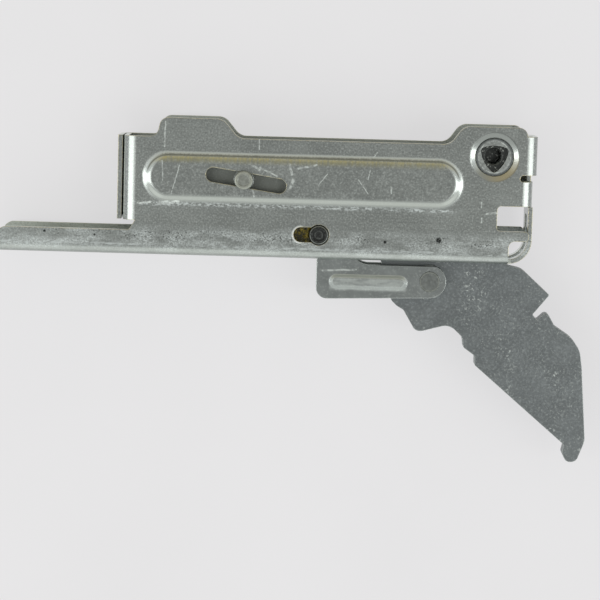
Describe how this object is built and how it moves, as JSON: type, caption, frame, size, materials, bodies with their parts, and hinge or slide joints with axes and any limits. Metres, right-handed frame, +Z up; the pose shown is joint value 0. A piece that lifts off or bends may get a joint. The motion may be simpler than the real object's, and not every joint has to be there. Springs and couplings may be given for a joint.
{
  "type": "oven door hinge",
  "caption": "Folded sheet steel hinge for an oven door: a sprung slide in a beaded channel follows a thick claw that swings on two embossed carrier plates.",
  "frame": {"origin": "on the axis of the threaded spacer, midway between the channel's walls", "axes": "+X along the channel towards the claw's end, +Y towards the channel's open edge, +Z up across the channel's width as the hinge lies on its side"},
  "size_m": [0.167, 0.0948, 0.0224],
  "materials": {
    "zinc_sheet": "zinc plated, scuffed",
    "dull_zinc": "zinc plated",
    "carrier_zinc": "zinc plated, scuffed crest",
    "claw_steel": "matt, mottled",
    "slide_steel": "matt dark",
    "rivet_steel": "dull zinc",
    "black_steel": "black oxide",
    "dark_steel": "greased",
    "spring_steel": "oiled wire"
  },
  "bodies": {
    "frame": {"channel": "zinc_sheet", "threaded_spacer": "dull_zinc", "front_carrier": "carrier_zinc", "back_carrier": "carrier_zinc", "carrier_pin": "black_steel", "carrier_sleeve": "dark_steel", "front_carrier_bush": "dark_steel", "back_carrier_bush": "dark_steel", "pivot_rivet": "rivet_steel", "front_pivot_washer": "dark_steel", "back_pivot_washer": "dark_steel", "spring_cup": "dark_steel", "spring": "spring_steel"},
    "claw_arm": {"claw": "claw_steel", "claw_bush": "dark_steel"},
    "slide": {"front_slide_plate": "slide_steel", "back_slide_plate": "slide_steel", "guide_rivet": "rivet_steel", "guide_sleeve": "dark_steel", "front_guide_bush": "dark_steel", "back_guide_bush": "dark_steel", "drive_pin": "dark_steel", "drive_roller": "dark_steel", "spring_plunger": "dark_steel"}
  },
  "joints": [
    {"name": "claw_swing", "type": "hinge", "parent": "frame", "child": "claw_arm", "pos_m": [-0.0166, -0.0357, 0], "axis": [0, 0, 1], "range_deg": [-52, 38]},
    {"name": "slide_run", "type": "slide", "parent": "frame", "child": "slide", "axis": [0.9893, -0.1461, 0], "range_m": [-0.0069, 0.00944], "deforming": ["spring"]}
  ],
  "couplings": [
    {"joint": "slide_run", "follows": "claw_swing", "m_per_rad": -0.0104}
  ]
}
